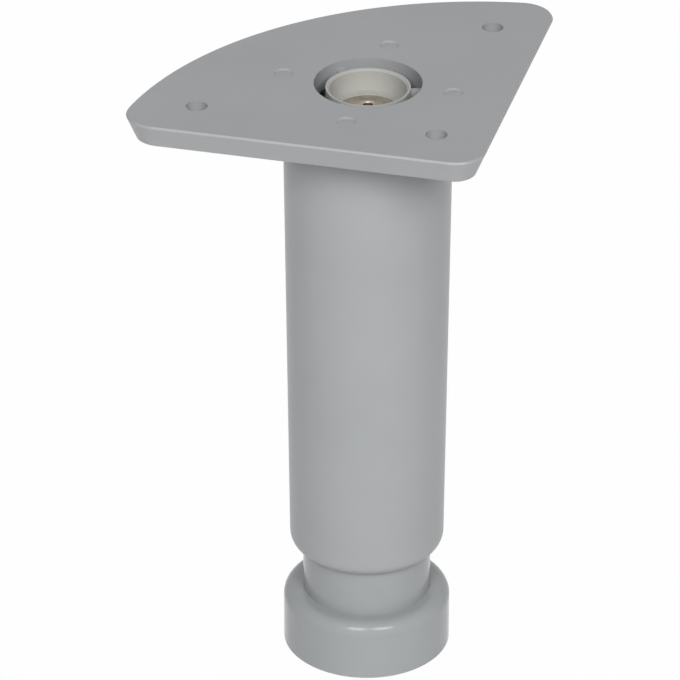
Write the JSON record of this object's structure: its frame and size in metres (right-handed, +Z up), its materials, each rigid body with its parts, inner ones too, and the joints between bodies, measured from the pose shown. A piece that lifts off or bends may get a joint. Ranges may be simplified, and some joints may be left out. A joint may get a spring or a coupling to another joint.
{
  "type": "adjustable cabinet leg",
  "caption": "Round tapered plastic furniture leg with a quarter-round screw-on plate and a foot that an inner spindle moves in and out of the tube.",
  "frame": {"origin": "on the leg's axis, at the centre of the foot's underside", "axes": "+Z up from the floor to the plate, X and Y along the two straight sides of the plate"},
  "size_m": [0.0837, 0.0837, 0.15],
  "materials": {
    "grey_plastic": "satin moulded",
    "yellow_zinc_steel": "yellow zinc plated"
  },
  "bodies": {
    "leg": {"leg_body": "grey_plastic"},
    "spindle": {"spindle": "yellow_zinc_steel", "head_washer": "yellow_zinc_steel"},
    "foot": {"foot": "grey_plastic", "foot_nut": "yellow_zinc_steel"}
  },
  "joints": [
    {"name": "spindle_turn", "type": "hinge", "parent": "leg", "child": "spindle", "pos_m": [0, 0, 0.138], "axis": [0, 0, 1], "range_deg": [-3168, 5760]},
    {"name": "foot_travel", "type": "slide", "parent": "leg", "child": "foot", "axis": [0, 0, -1], "range_m": [-0.011, 0.02]}
  ],
  "couplings": [
    {"joint": "foot_travel", "follows": "spindle_turn", "m_per_rad": 0.00019894}
  ]
}
